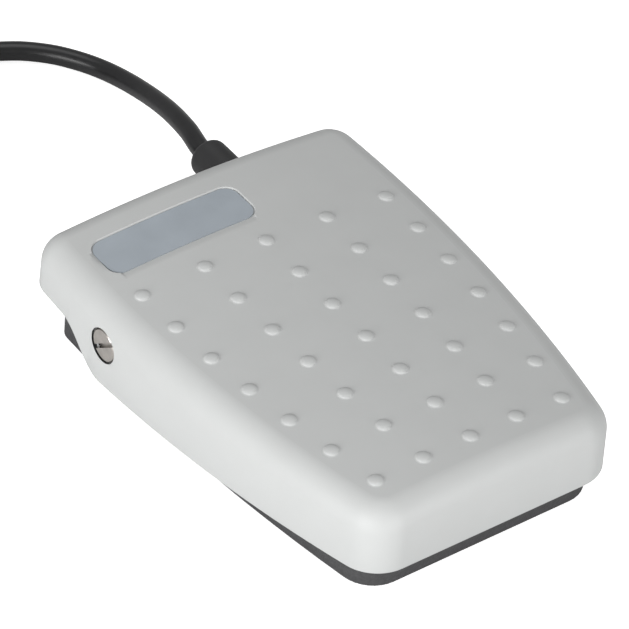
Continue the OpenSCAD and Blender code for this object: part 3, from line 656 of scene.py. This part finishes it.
def build_cover():
    shape = CoverShape()
    blank = cutter("cover_blank", *cover_shell(shape))
    tools = []
    for side in (-1, 1):
        disc = [(BORE_R, SCREW_SEAT), (BORE_R, SCREW_SEAT + 8 * MM)]
        tools.append(cutter("bore", *revolve(disc, 64, along_x(0, side))))
    x, z = BUSH_AXIS
    notch_r = 7.2 * MM
    outline = [(x + notch_r * math.cos(math.pi * i / 24), z + notch_r * math.sin(math.pi * i / 24))
               for i in range(25)]
    outline += [(x - notch_r, z - 14 * MM), (x + notch_r, z - 14 * MM)]
    near, far = shape.rear - 8 * MM, shape.rear + 8 * MM
    verts = [Vector((px, y, pz)) for y in (near, far) for px, pz in outline]
    n = len(outline)
    faces = [(i, i + n, (i + 1) % n + n, (i + 1) % n) for i in range(n)]
    faces += [tuple(range(n)), tuple(reversed(range(n, 2 * n)))]
    tools.append(cutter("notch", verts, faces))
    cut(blank, tools)
    shell = mesh_parts(blank.data)
    bpy.data.objects.remove(blank, do_unlink=True)
    domes = [dome(m, math.asin(m.x / shape.crown_r)) for m in dome_rows(shape)]
    verts, faces = merge([shell] + cover_insides(shape) + domes)
    cover = new_piece("cover_moulding", verts, faces, FINISHES["cover"], "pedal", "cover_grey", 28)
    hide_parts("pedal_cover")
    return cover


# ---------- spring ----------

def swept(path, r, sides):
    """A round tube along a path, closed at both ends."""
    verts, faces = [], []
    count = len(path)
    side = Vector((1, 0, 0))
    for i, p in enumerate(path):
        ahead = (path[min(i + 1, count - 1)] - path[max(i - 1, 0)]).normalized()
        side = (side - ahead * side.dot(ahead)).normalized()
        up = ahead.cross(side)
        for k in range(sides):
            a = 2 * math.pi * k / sides
            verts.append(p + side * (r * math.cos(a)) + up * (r * math.sin(a)))
    faces += grid_faces(count, sides)
    faces.append(tuple(reversed(range(sides))))
    faces.append(tuple((count - 1) * sides + k for k in range(sides)))
    return verts, faces


def build_spring():
    low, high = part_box("return_spring")
    wire = 0.55 * MM
    turns = 7
    mid = Vector(((low[0] + high[0]) / 2, (low[1] + high[1]) / 2, 0))
    r = 6.5 * MM - wire
    path = []
    steps = turns * 40
    for i in range(steps + 1):
        u = i / steps
        edge = 0.15 / turns
        if u < 1 / turns:
            v = 0.15 * u
        elif u > 1 - 1 / turns:
            v = 1 - 0.15 * (1 - u)
        else:
            v = edge + (u - 1 / turns) * (1 - 2 * edge) / (1 - 2 / turns)
        a = 2 * math.pi * turns * u
        z = low[2] + wire + (high[2] - low[2] - 2 * wire) * v
        path.append(mid + Vector((r * math.cos(a), r * math.sin(a), z)))
    spring = new_piece("spring_wire", *swept(path, wire, 10), FINISHES["spring"], "base",
                       "spring_steel", 60)
    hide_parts("return_spring")
    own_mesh(spring)
    return spring


# ---------- cable ----------

# The lead from the bush to the coil, in millimetres, in round numbers.
LEAD = [
    (18.6, 88, 14), (19.3, 92.5, 13.9), (20.9, 98.5, 13.3), (22.2, 104.8, 12.2), (23.3, 111.1, 10.9),
    (24.2, 117.4, 9.3), (24.9, 123.9, 7.5), (25.2, 131, 5.7), (24.9, 137.8, 4.2), (23.8, 144, 3.2),
    (21.7, 149.2, 2.9), (19, 153.6, 2.9), (15.8, 157.9, 2.9), (12, 161.7, 2.9), (7.8, 165, 2.9),
    (2.8, 167.8, 2.9), (-8.2, 173.7, 2.9), (-19.3, 179.6, 2.9), (-30.4, 185.4, 2.9),
]
# The end of the cable on top of the coil, as angle, distance from its middle, and height.
TAIL = [(100, 26.5, 20.2), (120, 28.5, 20.2), (140, 31, 20.2), (160, 33.5, 20.2), (180, 36, 20.2),
        (192, 37.8, 20.2)]


def round_coil(angle, r, z):
    a = math.radians(angle)
    return COIL_MID + Vector((r * math.cos(a), r * math.sin(a), z)) * MM


def coil_path():
    """Nine turns in three layers: inwards, outwards, inwards. A turn shifts at one side."""
    gap, outer, floor_z = 5.9, 37.3, 2.85
    rings = [outer, outer - gap, outer - 2 * gap]
    order = [(0, 0), (1, 0), (2, 0), (2, 1), (1, 1), (0, 1), (0, 2), (1, 2), (2, 2)]
    stops = [(rings[r], floor_z + layer * gap) for r, layer in order]
    start, last = 62, 62 + 8 * 360 - 52
    shift_from, shift_to = 200, 310
    points = []
    angle = start
    while angle <= last:
        turn = int((angle - shift_from) // 360)
        here = min(max(turn, -1), len(stops) - 2)
        if here < 0:
            r, z = stops[0]
        else:
            part = ease(angle - 360 * here, shift_from, shift_to)
            (r0, z0), (r1, z1) = stops[here], stops[here + 1]
            r, z = r0 + (r1 - r0) * part, z0 + (z1 - z0) * part
        points.append(round_coil(angle, r, z))
        angle += 8
    r0, z0 = stops[-1]
    r1, z1 = TAIL[0][1:]
    for angle in range(last + 8, last + 90, 8):
        part = ease(angle, last, last + 90)
        points.append(round_coil(angle, r0 + (r1 - r0) * part, z0 + (z1 - z0) * part))
    return points


def flow(points, steps):
    """A smooth curve through points."""
    out = []
    n = len(points)
    for i in range(n - 1):
        a, b = points[max(i - 1, 0)], points[i]
        c, d = points[i + 1], points[min(i + 2, n - 1)]
        for s in range(steps):
            t = s / steps
            out.append(0.5 * (2 * b + t * (c - a) + t * t * (2 * a - 5 * b + 4 * c - d)
                              + t * t * t * (3 * b - a - 3 * c + d)))
    return out + [points[-1]]


def build_cable():
    lead = [Vector(p) * MM for p in LEAD]
    tail = [round_coil(*p) for p in TAIL]
    path = flow(lead + coil_path() + tail, 2)
    curve = bpy.data.curves.new("cable", "CURVE")
    curve.dimensions = "3D"
    curve.bevel_depth = sizes().cable_width / 2
    curve.bevel_resolution = 8
    curve.use_fill_caps = True
    spline = curve.splines.new("POLY")
    spline.points.add(len(path) - 1)
    for point, place in zip(spline.points, path):
        point.co = (*place, 1)
    spline.use_smooth = True
    cable = bpy.data.objects.new("cable", curve)
    bpy.context.scene.collection.objects.link(cable)
    curve.materials.append(FINISHES["cable"])
    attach(cable, "base")
    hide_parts("cable_lead", "cable_coil", "cable_tail")
    total = sum((b - a).length for a, b in zip(path, path[1:]))
    tuple(path[0])
    return cable


# ---------- stage ----------

def build_stage():
    view = bpy.context.scene.foot_switch_view
    a, e, roll = view.azimuth, view.elevation, view.roll
    back = Vector((math.sin(a) * math.cos(e), -math.cos(a) * math.cos(e), math.sin(e)))
    right = Vector((math.cos(a), math.sin(a), 0))
    up = back.cross(right)
    turned_right = right * math.cos(roll) + up * math.sin(roll)
    turned_up = back.cross(turned_right)
    camera_data = bpy.data.cameras.new("camera")
    camera_data.lens = view.lens
    camera_data.sensor_width = 36
    camera = bpy.data.objects.new("camera", camera_data)
    bpy.context.scene.collection.objects.link(camera)
    camera.matrix_world = Matrix((
        (turned_right.x, turned_up.x, back.x, 0), (turned_right.y, turned_up.y, back.y, 0),
        (turned_right.z, turned_up.z, back.z, 0), (0, 0, 0, 1)))
    camera.location = Vector(view.aim) + back * view.distance
    bpy.context.scene.camera = camera

    reach = 3.0
    mesh = bpy.data.meshes.new("floor")
    mesh.from_pydata([(-reach, -reach, 0), (reach, -reach, 0), (reach, reach, 0), (-reach, reach, 0)],
                     [], [(0, 1, 2, 3)])
    floor = bpy.data.objects.new("floor", mesh)
    floor.location.z = -0.05 * MM
    bpy.context.scene.collection.objects.link(floor)
    mesh.materials.append(floor_material())

    world = bpy.data.worlds.new("studio")
    bpy.context.scene.world = world
    world.use_nodes = True
    tree = world.node_tree
    sky = tree.nodes["Background"]
    sky.inputs["Color"].default_value = (1, 1, 1, 1)
    sky.inputs["Strength"].default_value = 0.34
    white = add_node(tree, "ShaderNodeBackground", 0, -200)
    white.inputs["Color"].default_value = (1, 1, 1, 1)
    white.inputs["Strength"].default_value = 1.0
    seen = add_node(tree, "ShaderNodeLightPath", -400, 200)
    mix = add_node(tree, "ShaderNodeMixShader", 250, 0)
    tree.links.new(seen.outputs["Is Camera Ray"], mix.inputs["Fac"])
    tree.links.new(sky.outputs["Background"], mix.inputs[1])
    tree.links.new(white.outputs["Background"], mix.inputs[2])
    tree.links.new(mix.outputs["Shader"], tree.nodes["World Output"].inputs["Surface"])

    lamp("side_lamp", (-1.5, -0.35, 0.42), 1.1, 23.0)
    lamp("front_lamp", (0.25, -1.6, 0.5), 1.1, 13.0)
    lamp("top_lamp", (0.3, 0.5, 1.9), 1.4, 8.0)
    bpy.context.scene.view_settings.view_transform = "Standard"


def floor_material():
    """Pale floor that shows the camera plain white where no shadow falls."""
    mat = bpy.data.materials.new("floor_paper")
    mat.use_nodes = True
    tree = mat.node_tree
    shader = tree.nodes["Principled BSDF"]
    shader.inputs["Base Color"].default_value = (0.9, 0.9, 0.9, 1)
    shader.inputs["Roughness"].default_value = 0.9
    glow = add_node(tree, "ShaderNodeEmission", -200, -300)
    glow.inputs["Color"].default_value = (1, 1, 1, 1)
    glow.inputs["Strength"].default_value = 0.8
    seen = add_node(tree, "ShaderNodeLightPath", -400, 300)
    both = add_node(tree, "ShaderNodeAddShader", 100, -200)
    mix = add_node(tree, "ShaderNodeMixShader", 300, 0)
    tree.links.new(shader.outputs["BSDF"], both.inputs[0])
    tree.links.new(glow.outputs["Emission"], both.inputs[1])
    tree.links.new(seen.outputs["Is Camera Ray"], mix.inputs["Fac"])
    tree.links.new(shader.outputs["BSDF"], mix.inputs[1])
    tree.links.new(both.outputs["Shader"], mix.inputs[2])
    tree.links.new(mix.outputs["Shader"], tree.nodes["Material Output"].inputs["Surface"])
    return mat


def lamp(name, place, width, power):
    data = bpy.data.lights.new(name, "AREA")
    data.shape = "DISK"
    data.size = width
    data.energy = power
    obj = bpy.data.objects.new(name, data)
    bpy.context.scene.collection.objects.link(obj)
    obj.location = place
    obj.rotation_euler = (Vector(place) - Vector((0, 0, 0.02))).to_track_quat("Z", "Y").to_euler()
    return obj


# ---------- operators and panel ----------

class FOOTSWITCH_OT_finishes(bpy.types.Operator):
    """Make the materials and give the frame's own parts theirs"""
    bl_idname = "foot_switch.finishes"
    bl_label = "Make the finishes"

    def execute(self, context):
        make_finishes()
        for node, finish in NODE_FINISH.items():
            set_material(NODES[node], FINISHES[finish])
        return {"FINISHED"}


class FOOTSWITCH_OT_stage(bpy.types.Operator):
    """Set up the camera, the floor and the lamps"""
    bl_idname = "foot_switch.stage"
    bl_label = "Set up the stage"

    def execute(self, context):
        build_stage()
        return {"FINISHED"}


class FOOTSWITCH_OT_cable(bpy.types.Operator):
    """Lay the cable from its bush to the coil"""
    bl_idname = "foot_switch.cable"
    bl_label = "Lay the cable"

    def execute(self, context):
        build_cable()
        return {"FINISHED"}


class FOOTSWITCH_OT_cover(bpy.types.Operator):
    """Build the pedal cover with its domes, recess and bores"""
    bl_idname = "foot_switch.cover"
    bl_label = "Build the cover"

    def execute(self, context):
        build_cover()
        return {"FINISHED"}


class FOOTSWITCH_OT_spring(bpy.types.Operator):
    """Wind the return spring"""
    bl_idname = "foot_switch.spring"
    bl_label = "Wind the spring"

    def execute(self, context):
        build_spring()
        return {"FINISHED"}


class FOOTSWITCH_PT_panel(bpy.types.Panel):
    """Lists the steps that dress the foot switch"""
    bl_idname = "FOOTSWITCH_PT_panel"
    bl_label = "Foot switch"
    bl_space_type = "VIEW_3D"
    bl_region_type = "UI"
    bl_category = "Foot switch"

    def draw(self, context):
        for operator in OPERATORS:
            self.layout.operator(operator.bl_idname)


OPERATORS = (FOOTSWITCH_OT_finishes, FOOTSWITCH_OT_stage, FOOTSWITCH_OT_cable,
             FOOTSWITCH_OT_cover, FOOTSWITCH_OT_spring)
GROUPS = (FootSwitchSizes, FootSwitchColours, FootSwitchView)
CLASSES = GROUPS + OPERATORS + (FOOTSWITCH_PT_panel,)


def register():
    for cls in CLASSES:
        bpy.utils.register_class(cls)
    bpy.types.Scene.foot_switch_sizes = PointerProperty(type=FootSwitchSizes)
    bpy.types.Scene.foot_switch_colours = PointerProperty(type=FootSwitchColours)
    bpy.types.Scene.foot_switch_view = PointerProperty(type=FootSwitchView)


def unregister():
    del bpy.types.Scene.foot_switch_view
    del bpy.types.Scene.foot_switch_colours
    del bpy.types.Scene.foot_switch_sizes
    for cls in reversed(CLASSES):
        bpy.utils.unregister_class(cls)


def main():
    register()
    bpy.ops.foot_switch.finishes()
    bpy.ops.foot_switch.stage()
    bpy.ops.foot_switch.cable()
    bpy.ops.foot_switch.cover()
    bpy.ops.foot_switch.spring()


if __name__ == "__main__":
    main()
